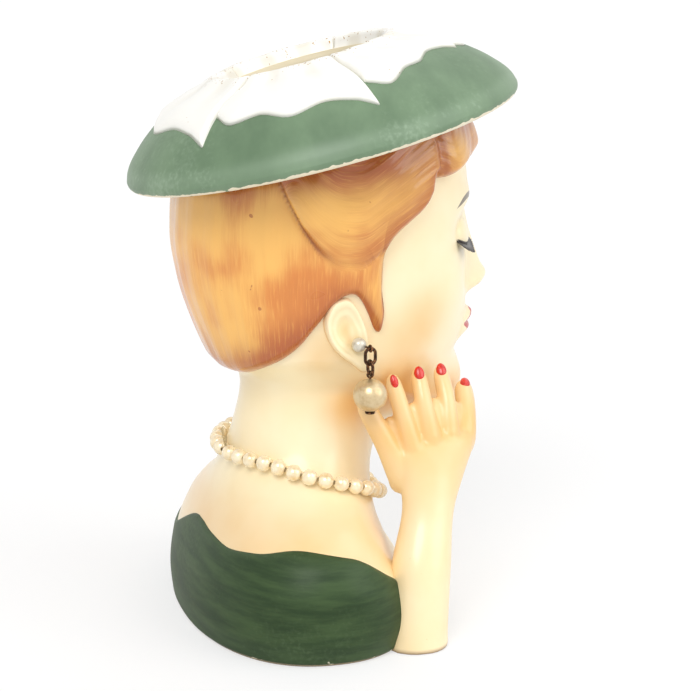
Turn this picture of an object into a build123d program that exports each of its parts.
"""Lady-head planter: a slip-cast bust with a saucer hat, a raised hand and real costume jewellery.

Millimetres, +Z up. The origin is on the table under the middle of the hat, and the face looks to -Y.
"""

from build123d import *
from math import asin, atan2, cos, degrees, pi, radians, sin, tan
import os

os.makedirs("parts", exist_ok=True)

# Head and bust casting
crown_height = 136.0
bust_half_width = 48.0
bust_front_depth = 29.0
bust_back_depth = 29.6
bust_setback = 8.0
neck_half_width = 18.2
neck_front_depth = 16.8
neck_back_depth = 18.8
head_half_width = 29.0
head_front_depth = 37.4
head_back_depth = 37.0
head_setback = -1.0
head_pitch = 6.0
head_roll = 3.0
wall = 3.6
floor_thickness = 4.2
foot_ring_width = 5.5
foot_recess = 1.2
dress_relief = 0.8
luting_height = 46.0

# Hair, ears and face
hair_thickness = 2.4
roll_thickness = 3.4
ear_height = 76.7
ear_setback = 1.7
ear_length = 20.0
ear_width = 10.5
ear_stand_off = 3.4
ear_shell_depth = 1.9
lobe_hole_radius = 2.05
lobe_hole_depth = 1.6
stud_forward = 2.5
stud_lift = -2.0
stud_stand_off = 3.3
nose_base_height = 77.7
nose_length = 18.0
nose_width = 11.4
nose_projection = 8.6
mouth_width = 17.0
upper_lip_height = 71.2
lip_height = 2.9
lip_rise = 1.7
eye_height = 94.4
eye_width = 12.0
eye_spacing = 22.8
eyelid_rise = 1.3

# Hat
hat_height = 124.0
hat_tilt = 14.0
hat_lean = 3.8
hat_radius = 50.3
hat_wall = 3.4
hat_rise = 17.5
hat_brim_drop = 1.5
hat_hollow_radius = 24.0
mouth_length = 40.0
mouth_breadth = 32.0
ribbon_thickness = 1.9
ribbon_reach = 41.0
ribbon_setback = 1.2

# Arm and hand
arm_height = 52.0
wrist_half_thickness = 5.6
hand_half_width = 11.0
hand_turn = 16.0
finger_radius = 2.35
thumb_radius = 2.8

# Necklace
pearl_diameter = 4.0
pearl_gap = 0.04
pearl_bore = 0.95
thread_diameter = 0.5
knot_gap = 1.4
knot_radius = 0.9
thread_tail = 6.5
knot_angle = radians(-168)
seat_clearance = 0.12

# Earrings
stud_diameter = 3.6
link_wire = 0.8
upper_link_height = 4.8
lower_link_height = 4.2
link_width = 3.5
pin_wire = 0.5
drop_pearl_diameter = 8.2
pin_head_radius = 1.25
pin_head_thickness = 0.55
link_clearance = 0.1
bore_clearance = 0.04
link_turn = 10.0
eye_stand_off = 2.7
eye_lead = 1.75
eye_drop = 0.5

# Flats that stand for round beads and wire
pearl_sides = 8
pearl_latitudes = (24, 66)
drop_sides = 14
drop_latitudes = (17, 50, 78)
wire_sides = 6
wire_bends = 12
cut_overrun = 1.0

# Height, side flare, front flare, back flare (0 is the neck, 1 the bust) and squareness
bust_shares = (
    (0.000, 0.916, 0.960, 0.950, 2.25),
    (0.051, 0.983, 1.000, 1.000, 2.30),
    (0.118, 1.000, 0.672, 0.870, 2.35),
    (0.176, 0.916, 0.303, 0.590, 2.30),
    (0.221, 0.681, 0.164, 0.355, 2.15),
    (0.257, 0.379, 0.123, 0.222, 2.05),
    (0.301, 0.144, 0.082, 0.111, 2.00),
    (0.353, 0.037, 0.016, 0.037, 2.00),
    (0.412, 0.000, -0.016, 0.000, 2.00),
    (0.485, 0.000, 0.016, 0.018, 2.00),
    (0.588, 0.030, 0.016, 0.110, 2.00),
    (1.000, 0.030, 0.016, 0.110, 2.00),
)
# Height, half width, front depth, back depth and squareness
head_shares = (
    (0.324, 0.517, 0.802, 0.486, 2.00),
    (0.368, 0.603, 0.975, 0.500, 2.00),
    (0.412, 0.707, 1.012, 0.508, 2.00),
    (0.471, 0.814, 0.978, 0.554, 2.05),
    (0.529, 0.897, 0.995, 0.730, 2.10),
    (0.603, 0.959, 0.982, 0.865, 2.15),
    (0.691, 0.986, 0.973, 0.962, 2.20),
    (0.765, 1.000, 0.973, 1.000, 2.20),
    (0.838, 0.986, 0.952, 0.989, 2.20),
    (0.912, 0.914, 0.856, 0.905, 2.10),
    (0.963, 0.724, 0.668, 0.730, 2.05),
    (1.000, 0.345, 0.320, 0.351, 2.00),
)
# Angle from the front in degrees, and the height share where the head stands out from the neck
jaw_shares = ((0, 0.360), (25, 0.379), (50, 0.415), (75, 0.456), (95, 0.470), (130, 0.462), (180, 0.450))
jaw_blend_share = 0.044
jaw_lead_share = 0.42
cavity_blend_share = 0.132
cavity_lag_share = 0.05
cavity_lift_share = 0.5
# Heights between which the sections tip with the head
tip_shares = (0.31, 0.53)
nudge_share = 0.1
# Height and setback between the bust (1) and the head (0)
spine_shares = (
    (0.0, 1.0), (0.2, 1.0), (0.30, 0.78), (0.35, 0.61), (0.41, 0.44), (0.485, 0.25), (0.6, 0.05),
    (1.0, 0.0),
)  # fmt: skip
casting_station_shares = (
    0.0, 0.051, 0.118, 0.176, 0.221, 0.257, 0.301, 0.36, 0.40, 0.43,
    0.46, 0.49, 0.53, 0.61, 0.69, 0.765, 0.838, 0.90, 0.95,
)  # fmt: skip
cavity_station_shares = (0.09, 0.15, 0.20, 0.245, 0.30, 0.37, 0.43, 0.49, 0.56, 0.65, 0.74, 0.82, 0.90, 0.96)
section_points = 24
necklace_steps = 720
hair_station_shares = (0.441, 0.50, 0.55, 0.60, 0.65, 0.70, 0.75, 0.80, 0.85, 0.90, 0.95)
# Side view of the hair's edge: shares of the head's front depth towards the back, and of the crown height
hairline_shares = (
    (1.18, 0.478), (0.655, 0.479), (0.621, 0.484), (0.571, 0.499),
    (0.476, 0.520), (0.412, 0.534), (0.339, 0.555),
    (0.287, 0.576), (0.233, 0.594), (0.186, 0.614), (0.147, 0.629),
    (0.051, 0.646), (-0.016, 0.650), (-0.075, 0.637), (-0.12, 0.611), (-0.16, 0.585), (-0.203, 0.579),
    (-0.227, 0.609), (-0.211, 0.647), (-0.203, 0.690), (-0.219, 0.726), (-0.265, 0.754), (-0.361, 0.774),
    (-0.447, 0.796), (-0.505, 0.825), (-0.529, 0.859), (-0.588, 0.854), (-0.682, 0.850), (-0.791, 0.862),
    (-0.981, 0.878), (-1.30, 0.884), (-1.30, 1.05), (1.18, 1.05),
)  # fmt: skip
# Angle from the front in degrees, height of the rolled side lock's lower edge, and how far it stands out
roll_edge_shares = (
    (0, 0.86, 0.0), (30, 0.83, 0.25), (45, 0.785, 0.6),
    (54, 0.775, 0.9), (66, 0.748, 1.0), (79, 0.716, 1.0),
    (90, 0.695, 1.0), (97, 0.700, 1.0), (106, 0.728, 1.0),
    (113, 0.768, 1.0), (120, 0.825, 1.0), (128, 0.90, 1.0),
    (180, 1.0, 1.0),
)  # fmt: skip
roll_blend_share = 0.035
# Side view of the top of the dress, in shares of the bust's half width
dress_shares = (
    (-0.90, -0.05), (-0.90, 0.190), (-0.38, 0.194), (-0.25, 0.28),
    (-0.13, 0.40), (-0.02, 0.50), (0.085, 0.56),
    (0.19, 0.583), (0.325, 0.586), (0.44, 0.555), (0.577, 0.515), (0.746, 0.54), (1.0, 0.552), (1.0, -0.05),
)  # fmt: skip
# Outline of the ear: shares of its width towards the face and of its length upwards
ear_shares = (
    (-0.43, 0.31), (-0.48, 0.145), (-0.39, -0.055), (-0.19, -0.22),
    (0.08, -0.365), (0.33, -0.49), (0.48, -0.42),
    (0.50, -0.20), (0.50, 0.045), (0.34, 0.34), (0.12, 0.49), (-0.22, 0.46),
)  # fmt: skip
# Stand-off and scale of the ear's sections, and scale of its bowl
ear_section_shares = ((-1.0, 1.0), (0.45, 1.0), (1.0, 0.84))
ear_bowl_shares = (0.34, 0.66)
ear_bowl_lift_share = 0.12
# Nose from its root to its base: height, half width and projection
nose_shares = (
    (1.02, 0.36, 0.14), (0.72, 0.44, 0.38), (0.38, 0.66, 0.74), (0.10, 1.0, 1.0),
    (-0.06, 0.72, 0.58),
)  # fmt: skip
# Along a lip or a lid: place across, and size
ridge_shares = ((-1.0, 0.16), (-0.62, 0.74), (-0.2, 1.0), (0.2, 1.0), (0.62, 0.74), (1.0, 0.16))
# Each lip: drop, half width, half height and rise
lip_shares = ((0.0, 1.0, 0.5, 1.0), (-1.0, 0.8, 0.56, 1.1))
eyelid_share = 0.27
# Crown of the hat from the brim to the mouth: radius and rise
hat_shares = (
    (1.0, 0.03), (0.986, 0.145), (0.915, 0.40), (0.835, 0.60),
    (0.755, 0.755), (0.676, 0.857), (0.517, 0.965), (0.30, 1.0),
)  # fmt: skip
hollow_inset_share = 0.3
# Where one ribbon gives way to the next, in degrees round the mouth, and each ribbon's outer edge
ribbon_turns = (50, 128, 187, 243, 320, 410)
ribbon_part_turn = 0.6
ribbon_inner_shares = (0.0, 0.25, 0.5, 0.75, 1.0)
ribbon_edge_shares = (
    (0.0, 0.90), (0.14, 0.97), (0.32, 0.94), (0.52, 1.0), (0.72, 0.96), (0.88, 1.0), (1.0, 1.08),
)  # fmt: skip
# Forearm and palm: height, place across, place forward, half width and half thickness
arm_shares = (
    (0.0, -0.790, -0.300, 0.720, 1.25),
    (0.115, -0.785, -0.306, 0.700, 1.22),
    (0.385, -0.735, -0.338, 0.690, 1.16),
    (0.615, -0.650, -0.397, 0.610, 1.00),
    (0.770, -0.600, -0.433, 0.782, 0.93),
    (0.904, -0.5625, -0.465, 0.980, 0.82),
    (1.0, -0.525, -0.504, 0.873, 0.68),
)
# Knuckle, middle and tip of each finger, in shares of the arm's height
finger_shares = {
    "index": ((-0.550, -0.308, 0.904), (-0.522, -0.258, 1.100), (-0.462, -0.223, 1.262)),
    "middle": ((-0.538, -0.400, 0.942), (-0.500, -0.374, 1.125), (-0.423, -0.363, 1.275)),
    "ring": ((-0.500, -0.500, 0.942), (-0.448, -0.505, 1.115), (-0.346, -0.500, 1.254)),
    "little": ((-0.433, -0.596, 0.923), (-0.330, -0.640, 1.060), (-0.169, -0.665, 1.142)),
    "thumb": ((-0.529, -0.240, 0.808), (-0.535, -0.130, 0.990), (-0.490, -0.065, 1.160)),
}
finger_size_shares = (1.35, 1.12, 0.86)
finger_joint_share = 1.05
# Angle from the front in degrees, and the height of the necklace on the spine
necklace_shares = (
    (0, 0.225), (18, 0.228), (78, 0.279), (105, 0.3015), (126, 0.316), (150, 0.318), (180, 0.318),
)  # fmt: skip
knot_reach_share = 0.4
tail_spread_share = 0.3


def monotone(rows, column, position):
    """A smooth curve through one column of a table that never overshoots its points."""
    xs = [row[0] for row in rows]
    ys = [row[column] for row in rows]
    if position <= xs[0]:
        return ys[0]
    if position >= xs[-1]:
        return ys[-1]
    i = max(k for k in range(len(xs) - 1) if xs[k] <= position)
    step = [xs[k + 1] - xs[k] for k in range(len(xs) - 1)]
    rise = [(ys[k + 1] - ys[k]) / step[k] for k in range(len(step))]

    def slope(k):
        if k == 0:
            return rise[0]
        if k == len(step):
            return rise[-1]
        if rise[k - 1] * rise[k] <= 0:
            return 0.0
        before = 2 * step[k] + step[k - 1]
        after = step[k] + 2 * step[k - 1]
        return (before + after) / (before / rise[k - 1] + after / rise[k])

    t = (position - xs[i]) / step[i]
    hermite = (2 * t**3 - 3 * t**2 + 1, t**3 - 2 * t**2 + t, 3 * t**2 - 2 * t**3, t**3 - t**2)
    return (
        hermite[0] * ys[i]
        + hermite[1] * step[i] * slope(i)
        + hermite[2] * ys[i + 1]
        + hermite[3] * step[i] * slope(i + 1)
    )


def smooth(t):
    """0 below 0, 1 above 1 and an S between."""
    t = min(max(t, 0.0), 1.0)
    return t * t * (3 - 2 * t)


def polar(angle, half_width, front, back, squareness):
    """Radius of an oval with its own front and back depth. Angle 0 is the front."""
    depth = front if cos(angle) > 0 else back
    across = abs(sin(angle) / half_width) ** squareness
    return (abs(cos(angle) / depth) ** squareness + across) ** (-1 / squareness)


def neck_radius(angle, height):
    """Radius of the bust and neck at a height on the spine."""
    share = height / crown_height
    side, front, back, squareness = (monotone(bust_shares, k, share) for k in (1, 2, 3, 4))
    return polar(
        angle,
        neck_half_width + (bust_half_width - neck_half_width) * side,
        neck_front_depth + (bust_front_depth - neck_front_depth) * front,
        neck_back_depth + (bust_back_depth - neck_back_depth) * back,
        squareness,
    )


def head_radius(angle, height):
    """Radius of the head alone at a height on the spine."""
    share = height / crown_height
    side, front, back, squareness = (monotone(head_shares, k, share) for k in (1, 2, 3, 4))
    return polar(angle, head_half_width * side, head_front_depth * front, head_back_depth * back, squareness)


def turn_from_front(angle):
    """Angle from the front, 0 to 180 degrees on either side."""
    return abs((degrees(angle) + 180) % 360 - 180)


def skin_radius(angle, height):
    """Radius of the bare skin: the neck below the jaw line, the head above it."""
    jaw = monotone(jaw_shares, 1, turn_from_front(angle))
    head_part = smooth((height / crown_height - jaw) / jaw_blend_share + jaw_lead_share)
    return neck_radius(angle, height) * (1 - head_part) + head_radius(angle, height) * head_part


def station(height):
    """Section plane at a height on the spine: level in the bust, tipped with the head above the neck."""
    share = height / crown_height
    tip = smooth((share - tip_shares[0]) / (tip_shares[1] - tip_shares[0]))
    pitch = radians(head_pitch * tip)
    lean = radians(head_roll * tip)
    setback = head_setback + (bust_setback - head_setback) * monotone(spine_shares, 1, share)
    return Plane(
        origin=(0, setback, height),
        x_dir=(cos(lean), 0, -sin(lean)),
        z_dir=(sin(lean) * cos(pitch), cos(lean) * sin(pitch), cos(lean) * cos(pitch)),
    )


def on_form(angle, height, radius):
    """A point at a radius on the section plane of a height."""
    return station(height).from_local_coords(Vector(radius * sin(angle), -radius * cos(angle)))


def skin_point(angle, height, stand_off):
    """A point that stands off the skin along its normal."""
    nudge = wall * nudge_share
    turned = angle + nudge / neck_half_width
    here = on_form(angle, height, skin_radius(angle, height))
    above = on_form(angle, height + nudge, skin_radius(angle, height + nudge))
    beside = on_form(turned, height, skin_radius(turned, height))
    outward = (beside - here).cross(above - here).normalized()
    return here + outward * stand_off


def section_wire(height, radius_at):
    """Sketch of one closed section of the form."""
    angles = [2 * pi * k / section_points for k in range(section_points)]
    with BuildSketch(station(height)) as section:
        with BuildLine():
            Spline(
                [(radius_at(a, height) * sin(a), -radius_at(a, height) * cos(a)) for a in angles],
                periodic=True,
            )
        make_face()
    return section.sketch


def form(heights, radius_at):
    """Solid lofted through closed sections of a form."""
    with BuildPart() as body:
        loft(sections=[section_wire(h, radius_at) for h in heights])
    return body.part


def side_prism(outline):
    """Solid seen from the side as the outline (back, up), running through the whole width."""
    with BuildPart() as prism:
        with BuildSketch(Plane.YZ):
            with BuildLine():
                Polyline(outline, close=True)
            make_face()
        extrude(amount=bust_half_width + dress_relief + cut_overrun, both=True)
    return prism.part


def cavity_radius(angle, height):
    """The inside keeps one wall from the skin and goes more gently past the jaw."""
    jaw = monotone(jaw_shares, 1, turn_from_front(angle))
    head_part = smooth((height / crown_height - jaw) / cavity_blend_share - cavity_lag_share)
    neck = neck_radius(angle, height + wall * cavity_lift_share)
    return neck * (1 - head_part) + head_radius(angle, height) * head_part - wall


def hair_radius(angle, height):
    """The hair over the head, with the side locks rolled outwards above their lower edge."""
    edge, swell = (monotone(roll_edge_shares, k, turn_from_front(angle)) for k in (1, 2))
    roll = swell * smooth((height / crown_height - edge) / roll_blend_share)
    return head_radius(angle, height) + hair_thickness + roll_thickness * roll


def dress_radius(angle, height):
    """The dress stands one relief proud of the bust."""
    return neck_radius(angle, height) + dress_relief


def face_place(across, height):
    """Point of the bare face at a place across it and a height on the spine."""
    angle = 0.0
    for _ in range(6):
        angle = asin(across / skin_radius(angle, height))
    return on_form(angle, height, skin_radius(angle, height))


def ridge(across, height, half_width, half_height, rise):
    """A soft ridge across the face, for a lip or a lid."""
    with BuildPart() as swelling:
        for place, size in ridge_shares:
            middle = face_place(across + half_width * place, height)
            with BuildSketch(Plane(origin=middle, x_dir=(0, 1, 0), z_dir=(1, 0, 0))):
                Ellipse(rise * size, half_height * size)
        loft()
    return swelling.part


def ear_plane(side):
    """Plane on the side of the head, facing outwards. Side is -1 on her right and 1 on her left."""
    level = station(ear_height)
    root = on_form(side * pi / 2, ear_height, skin_radius(pi / 2, ear_height))
    return Plane(origin=root + level.y_dir * ear_setback, x_dir=level.y_dir * side, z_dir=level.x_dir * side)


def ear_place(side, forward, up, out):
    """A point near the ear, by its distances towards the face, upwards and outwards."""
    plane = ear_plane(side)
    return plane.origin + plane.x_dir * (-side * forward) + plane.y_dir * up + plane.z_dir * out


def ear_outline(side, scale, lift):
    """Closed outline of the ear on its plane at a scale."""
    return [(-side * ear_width * x * scale, ear_length * y * scale + lift) for x, y in ear_shares]


def ear(side):
    """Ear with a bowl in it and a hole for the stud."""
    plane = ear_plane(side)
    with BuildPart() as shell:
        for out, scale in ear_section_shares:
            with BuildSketch(plane.offset(ear_stand_off * out)):
                with BuildLine():
                    Spline(ear_outline(side, scale, 0), periodic=True)
                make_face()
        loft()
    with BuildPart() as bowl:
        stand_offs = (ear_stand_off - ear_shell_depth, ear_stand_off + cut_overrun)
        for out, scale in zip(stand_offs, ear_bowl_shares):
            with BuildSketch(plane.offset(out)):
                with BuildLine():
                    Spline(ear_outline(side, scale, ear_length * ear_bowl_lift_share), periodic=True)
                make_face()
        loft()
    return shell.part - bowl.part


hat_plane = Plane(
    origin=(0, 0, hat_height),
    x_dir=(cos(radians(hat_lean)), 0, -sin(radians(hat_lean))),
    z_dir=(sin(radians(hat_lean)), sin(radians(hat_tilt)), cos(radians(hat_tilt))),
)
hat_profile_plane = Plane(origin=hat_plane.origin, x_dir=hat_plane.x_dir, z_dir=-hat_plane.y_dir)
hat_axis = Axis(hat_plane.origin, hat_plane.z_dir)

skin = form([crown_height * share for share in casting_station_shares], skin_radius)
cavity = form([floor_thickness] + [crown_height * share for share in cavity_station_shares], cavity_radius)
dress = form([crown_height * share for share in casting_station_shares[:7]], dress_radius)
dress = dress & side_prism([(bust_half_width * y, bust_half_width * z) for y, z in dress_shares])
hair = form([crown_height * share for share in hair_station_shares], hair_radius)
hair = hair & side_prism([(head_front_depth * y, crown_height * z) for y, z in hairline_shares])

with BuildPart() as nose:
    for up, size, projection in nose_shares:
        height = nose_base_height + nose_length * up
        with BuildSketch(station(height)):
            with Locations((0, -skin_radius(0, height))):
                Ellipse(nose_width / 2 * size, nose_projection * projection)
    loft()

with BuildPart() as head_form:
    add(skin)
    add(dress)
    add(hair)
    add(ear(-1))
    add(ear(1))
    add(nose)
    for drop, width, tall, rise in lip_shares:
        lip_middle = upper_lip_height + lip_height * drop
        add(ridge(0, lip_middle, mouth_width / 2 * width, lip_height * tall, lip_rise * rise))
    for side in (-1, 1):
        add(ridge(side * eye_spacing / 2, eye_height, eye_width / 2, eye_width * eyelid_share, eyelid_rise))

with BuildPart() as castings:
    add(head_form.part)
    add(cavity, mode=Mode.SUBTRACT)
    with BuildSketch(hat_plane.offset(-hat_brim_drop)):
        Circle(hat_radius)
    extrude(amount=hat_rise + hat_radius, mode=Mode.SUBTRACT)
    with BuildSketch(Plane.XY):
        add(section_wire(0, lambda angle, height: neck_radius(angle, height) - foot_ring_width))
    extrude(amount=foot_recess, mode=Mode.SUBTRACT)
    for side in (-1, 1):
        with BuildSketch(ear_plane(side).offset(stud_stand_off - lobe_hole_depth)):
            with Locations((-side * stud_forward, stud_lift)):
                Circle(lobe_hole_radius)
        extrude(amount=lobe_hole_depth + cut_overrun, mode=Mode.SUBTRACT)

with BuildPart() as bust_casting:
    add(castings.part)
    split(bisect_by=Plane.XY.offset(luting_height), keep=Keep.BOTTOM)

bust_casting.part.label = "bust_casting"
export_step(bust_casting.part, "parts/bust_casting.step")

with BuildPart() as head_casting:
    add(castings.part)
    split(bisect_by=Plane.XY.offset(luting_height), keep=Keep.TOP)

head_casting.part.label = "head_casting"
export_step(head_casting.part, "parts/head_casting.step")


def crown_edge(lift):
    """Points over the crown of the hat from the brim to the mouth, raised by a lift."""
    return [(hat_radius * r, hat_rise * z + lift) for r, z in hat_shares]


def hollow_edge():
    """Points under the crown, one wall inside it, from the mouth to the brim."""
    inset = hat_wall * hollow_inset_share
    return [(hat_radius * r - inset, hat_rise * z - hat_wall) for r, z in reversed(hat_shares[3:])]


with BuildPart() as hat:
    with BuildSketch(hat_profile_plane):
        with BuildLine():
            crown = Spline(crown_edge(0))
            hollow = Spline(hollow_edge())
            foot = (hat_radius - hat_brim_drop, -hat_brim_drop)
            floor_end = (hollow @ 1).X
            Line(crown @ 1, hollow @ 0)
            Line(hollow @ 1, (floor_end, hat_wall - hat_brim_drop))
            Line((floor_end, hat_wall - hat_brim_drop), (hat_hollow_radius, hat_wall - hat_brim_drop))
            Line((hat_hollow_radius, hat_wall - hat_brim_drop), (hat_hollow_radius, -hat_brim_drop))
            Line((hat_hollow_radius, -hat_brim_drop), foot)
            TangentArc(foot, crown @ 0, tangent=(1, 0))
        make_face()
    revolve(axis=hat_axis)
    with BuildSketch(hat_plane):
        Ellipse(mouth_breadth / 2, mouth_length / 2)
    extrude(amount=hat_rise + cut_overrun, mode=Mode.SUBTRACT)

hat.part.label = "hat"
export_step(hat.part, "parts/hat.step")

with BuildPart() as ribbon_layer:
    with BuildSketch(hat_profile_plane):
        with BuildLine():
            lower = Spline(crown_edge(0))
            upper = Spline(crown_edge(ribbon_thickness))
            Line(lower @ 0, upper @ 0)
            Line(lower @ 1, upper @ 1)
        make_face()
    revolve(axis=hat_axis)


def round_mouth(turn, reach):
    """A point on the hat's plane at a turn in degrees round the mouth."""
    return (reach * cos(radians(turn)), reach * sin(radians(turn)))


def mouth_reach(turn):
    """Distance from the hat's middle to the mouth's edge at a turn in degrees."""
    along = mouth_length / 2 + ribbon_setback
    return polar(radians(turn - 90), mouth_breadth / 2 + ribbon_setback, along, along, 2)


for number, (start, stop) in enumerate(zip(ribbon_turns, ribbon_turns[1:]), 1):
    sweep_turn = stop - start - ribbon_part_turn
    outer = [round_mouth(start + sweep_turn * t, ribbon_reach * r) for t, r in ribbon_edge_shares]
    inner_turns = [start + sweep_turn * t for t in ribbon_inner_shares]
    inner = [round_mouth(turn, mouth_reach(turn)) for turn in inner_turns]
    with BuildPart() as ribbon:
        with BuildSketch(hat_plane):
            with BuildLine():
                edge = Spline(outer)
                rim = Spline(inner)
                Line(edge @ 0, rim @ 0)
                Line(edge @ 1, rim @ 1)
            make_face()
        extrude(amount=hat_rise + ribbon_thickness + cut_overrun)
        add(ribbon_layer.part, mode=Mode.INTERSECT)
    ribbon.part.label = f"ribbon_{number}"
    export_step(ribbon.part, f"parts/{ribbon.part.label}.step")


def arm_section(up, across, forward, width, thickness):
    """Oval section of the forearm or palm, level, with its width along the hand's turn."""
    turn = radians(hand_turn * up)
    plane = Plane(
        origin=(bust_half_width * across, bust_half_width * forward, arm_height * up),
        x_dir=(sin(turn), -cos(turn), 0),
        z_dir=(0, 0, 1),
    )
    with BuildSketch(plane) as section:
        Ellipse(hand_half_width * width, wrist_half_thickness * thickness)
    return section.sketch


def finger(joints, radius):
    """Tapered finger through its joints, round at the middle joint and the tip."""
    points = [Vector(*(arm_height * share for share in joint)) for joint in joints]
    radii = [radius * share for share in finger_size_shares]
    with BuildPart() as digit:
        for start, stop, wide, narrow in zip(points, points[1:], radii, radii[1:]):
            with Locations(Plane(origin=start, z_dir=stop - start)):
                Cone(wide, narrow, (stop - start).length, align=(Align.CENTER, Align.CENTER, Align.MIN))
        for point, size in zip(points[1:], radii[1:]):
            with Locations(point):
                Sphere(size * finger_joint_share)
    return digit.part


with BuildPart() as arm:
    loft(sections=[arm_section(*row) for row in arm_shares])
    for name, joints in finger_shares.items():
        add(finger(joints, thumb_radius if name == "thumb" else finger_radius))
    add(head_form.part, mode=Mode.SUBTRACT)

arm.part.label = "arm"
export_step(arm.part, "parts/arm.step")


def necklace_height(angle):
    """Height on the spine of the necklace's line on the skin."""
    return crown_height * monotone(necklace_shares, 1, turn_from_front(angle))


def along_necklace(steps):
    """Points along the necklace's line from the knot round to the knot again."""
    angles = [knot_angle + 2 * pi * k / steps for k in range(steps + 1)]
    return [skin_point(a, necklace_height(a), pearl_diameter / 2 + seat_clearance) for a in angles]


def spaced(points, distances):
    """Points at distances along a line of points."""
    found = []
    travelled = 0.0
    for here, after in zip(points, points[1:]):
        step = (after - here).length
        while len(found) < len(distances) and distances[len(found)] <= travelled + step:
            found.append(here + (after - here) * ((distances[len(found)] - travelled) / step))
        travelled += step
    return found


necklace_line = along_necklace(necklace_steps)
necklace_length = sum((b - a).length for a, b in zip(necklace_line, necklace_line[1:]))
pearl_count = int((necklace_length - knot_gap) // (pearl_diameter + pearl_gap))
pearl_pitch = (necklace_length - knot_gap) / pearl_count
pearl_ends = spaced(necklace_line, [knot_gap / 2 + pearl_pitch * k for k in range(pearl_count + 1)])
print("necklace", round(necklace_length, 1), "mm,", pearl_count, "pearls")


def bead(diameter, bore, sides, latitudes):
    """Upright bead, bored if it has a bore, in flats between rings at latitudes beside its belt."""
    radius = diameter / 2
    with BuildPart() as body:
        with BuildSketch():
            RegularPolygon(radius * cos(radians(latitudes[0])), sides)
        extrude(amount=radius * sin(radians(latitudes[0])))
        for low, high in zip(latitudes, latitudes[1:]):
            rise = radius * (sin(radians(high)) - sin(radians(low)))
            inset = radius * (cos(radians(low)) - cos(radians(high))) * cos(pi / sides)
            with BuildSketch(Plane.XY.offset(radius * sin(radians(low)))):
                RegularPolygon(radius * cos(radians(low)), sides)
            extrude(amount=rise, taper=degrees(atan2(inset, rise)))
        mirror(about=Plane.XY)
        if bore:
            with BuildSketch():
                RegularPolygon(bore / 2, wire_sides)
            extrude(amount=diameter, both=True, mode=Mode.SUBTRACT)
    return body.part


def threaded(shape, middle, along):
    """The bead at a place, with its bore along a direction."""
    with BuildPart() as placed:
        with Locations(Plane(origin=middle, z_dir=along)):
            add(shape)
    return placed.part


pearl_bead = bead(pearl_diameter, pearl_bore, pearl_sides, pearl_latitudes)
for number, (start, stop) in enumerate(zip(pearl_ends, pearl_ends[1:]), 1):
    pearl = threaded(pearl_bead, (start + stop) / 2, stop - start)
    pearl.label = f"pearl_{number:02d}"
    export_step(pearl, f"parts/{pearl.label}.step")

knot_middle = skin_point(knot_angle, necklace_height(knot_angle), knot_radius + seat_clearance)
thread_start = knot_middle + (pearl_ends[0] - knot_middle) * knot_reach_share
thread_stop = knot_middle + (pearl_ends[-1] - knot_middle) * knot_reach_share

with BuildPart() as thread:
    with BuildLine():
        Polyline([thread_start] + pearl_ends + [thread_stop])
    with BuildSketch(Plane(origin=thread_start, z_dir=pearl_ends[0] - thread_start)):
        RegularPolygon(thread_diameter / 2, wire_sides)
    sweep(transition=Transition.RIGHT)
    with Locations(knot_middle):
        add(bead(knot_radius * 2, 0, pearl_sides, pearl_latitudes))
    for spread in (-1, 1):
        tail_end = skin_point(
            knot_angle + spread * thread_tail / neck_half_width * tail_spread_share,
            necklace_height(knot_angle) - thread_tail,
            thread_diameter + seat_clearance,
        )
        with BuildSketch(Plane(origin=knot_middle, z_dir=tail_end - knot_middle)):
            RegularPolygon(thread_diameter / 2, wire_sides)
        extrude(amount=(tail_end - knot_middle).length)

thread.part.label = "necklace_thread"
export_step(thread.part, "parts/necklace_thread.step")


def hanging_plane(middle, across):
    """Upright plane through a point, with its width along a level direction."""
    return Plane(origin=middle, x_dir=across, z_dir=across.cross(Vector(0, 0, 1)))


def wire_loop(middle, across, wire, width, height):
    """Closed upright loop of wire, round or oval, centred on a point."""
    plane = hanging_plane(middle, across)
    bend = (width - wire) / 2
    straight = (height - wire) / 2 - bend
    turns = [2 * pi * (k + 0.5) / wire_bends for k in range(wire_bends)]
    reach = bend / cos(pi / wire_bends)
    corners = [(reach * cos(t), reach * sin(t) + (straight if sin(t) > 0 else -straight)) for t in turns]
    with BuildPart() as loop:
        with BuildLine(plane):
            Polyline([(bend, 0)] + corners + [(bend, 0)])
        with BuildSketch(Plane(origin=plane.from_local_coords(Vector(bend, 0, 0)), z_dir=(0, 0, 1))):
            RegularPolygon(wire / 2, wire_sides)
        sweep(transition=Transition.RIGHT)
        # Round along the lowest run, where the next loop bears and turns
        with BuildSketch(Plane(origin=plane.from_local_coords(Vector(0, -bend - straight, 0)), z_dir=across)):
            Circle(wire / 2)
        extrude(amount=bend * tan(pi / wire_bends), both=True)
    return loop.part


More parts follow.
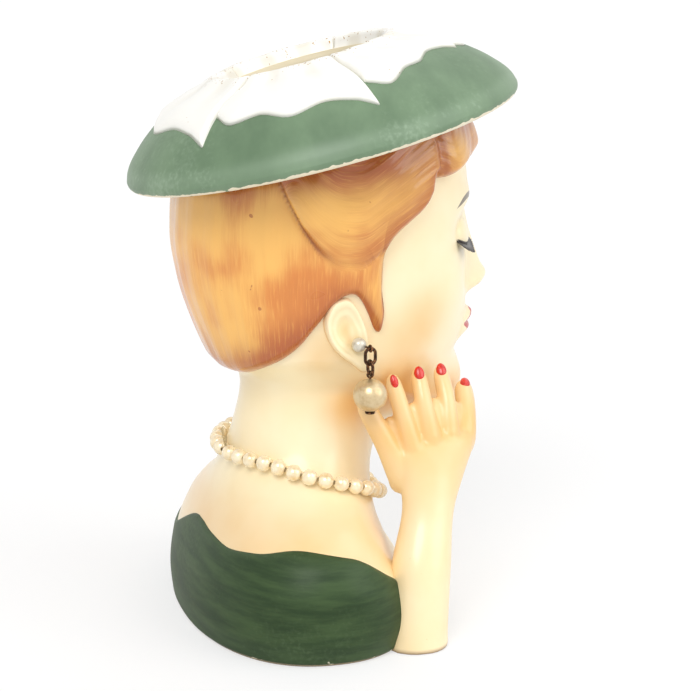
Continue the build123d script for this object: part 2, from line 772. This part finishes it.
for side, name in ((-1, "right"), (1, "left")):
    stud_rise = stud_stand_off - lobe_hole_depth + stud_diameter / 2
    stud_middle = ear_place(side, stud_forward, stud_lift, stud_rise)
    fore = Vector(-side * sin(radians(link_turn)), -cos(radians(link_turn)), 0)
    outward = Vector(side * cos(radians(link_turn)), -sin(radians(link_turn)), 0)
    eye_radius = link_wire / 2 + link_clearance + pin_wire / 2
    eye_size = eye_radius * 2 + pin_wire
    eye_middle = stud_middle + outward * eye_stand_off + fore * eye_lead - Vector(0, 0, eye_drop)
    post_start = eye_middle - outward * eye_radius
    upper_pivot = eye_middle - Vector(0, 0, eye_radius)
    lower_pivot = eye_middle - Vector(0, 0, upper_link_height - link_wire)
    lower_top = lower_pivot + Vector(0, 0, link_wire + link_clearance)
    drop_pivot = lower_top - Vector(0, 0, lower_link_height - link_wire)
    drop_top = drop_pivot - Vector(0, 0, eye_radius + pin_wire / 2 + link_clearance)
    drop_middle = drop_top - Vector(0, 0, drop_pearl_diameter / 2)
    print(name, "pivots", upper_pivot, lower_pivot, drop_pivot, "axes", outward, fore, "drop", drop_middle)

    pin_bore = (pin_wire + 2 * bore_clearance) / cos(pi / wire_sides)
    stud_bead = bead(stud_diameter, pin_bore, drop_sides, pearl_latitudes)
    stud = threaded(stud_bead, stud_middle, post_start - stud_middle)
    stud.label = f"{name}_stud_pearl"
    export_step(stud, f"parts/{stud.label}.step")

    with BuildPart() as stud_eye:
        add(wire_loop(eye_middle, outward, pin_wire, eye_size, eye_size))
        with BuildSketch(Plane(origin=post_start, z_dir=stud_middle - post_start)):
            RegularPolygon(pin_wire / 2, wire_sides)
        extrude(amount=(stud_middle - post_start).length - bore_clearance)
    stud_eye.part.label = f"{name}_stud_eye"
    export_step(stud_eye.part, f"parts/{name}_stud_eye.step")

    upper = wire_loop((eye_middle + lower_pivot) / 2, fore, link_wire, link_width, upper_link_height)
    upper.label = f"{name}_upper_link"
    export_step(upper, f"parts/{upper.label}.step")

    lower = wire_loop((lower_top + drop_pivot) / 2, outward, link_wire, link_width, lower_link_height)
    lower.label = f"{name}_lower_link"
    export_step(lower, f"parts/{lower.label}.step")

    pin_foot = drop_middle - Vector(0, 0, drop_pearl_diameter / 2)
    with BuildPart() as head_pin:
        add(wire_loop(drop_pivot, fore, pin_wire, eye_size, eye_size))
        with BuildSketch(Plane(origin=drop_pivot - Vector(0, 0, eye_radius), z_dir=(0, 0, -1))):
            RegularPolygon(pin_wire / 2, wire_sides)
        extrude(amount=drop_pivot.Z - eye_radius - pin_foot.Z)
        with BuildSketch(Plane(origin=pin_foot, z_dir=(0, 0, -1))):
            RegularPolygon(pin_head_radius, drop_sides)
        extrude(amount=pin_head_thickness)
    head_pin.part.label = f"{name}_head_pin"
    export_step(head_pin.part, f"parts/{name}_head_pin.step")

    drop_bead = bead(drop_pearl_diameter, pin_bore, drop_sides, drop_latitudes)
    drop = threaded(drop_bead, drop_middle, Vector(0, 0, 1))
    drop.label = f"{name}_drop_pearl"
    export_step(drop, f"parts/{drop.label}.step")
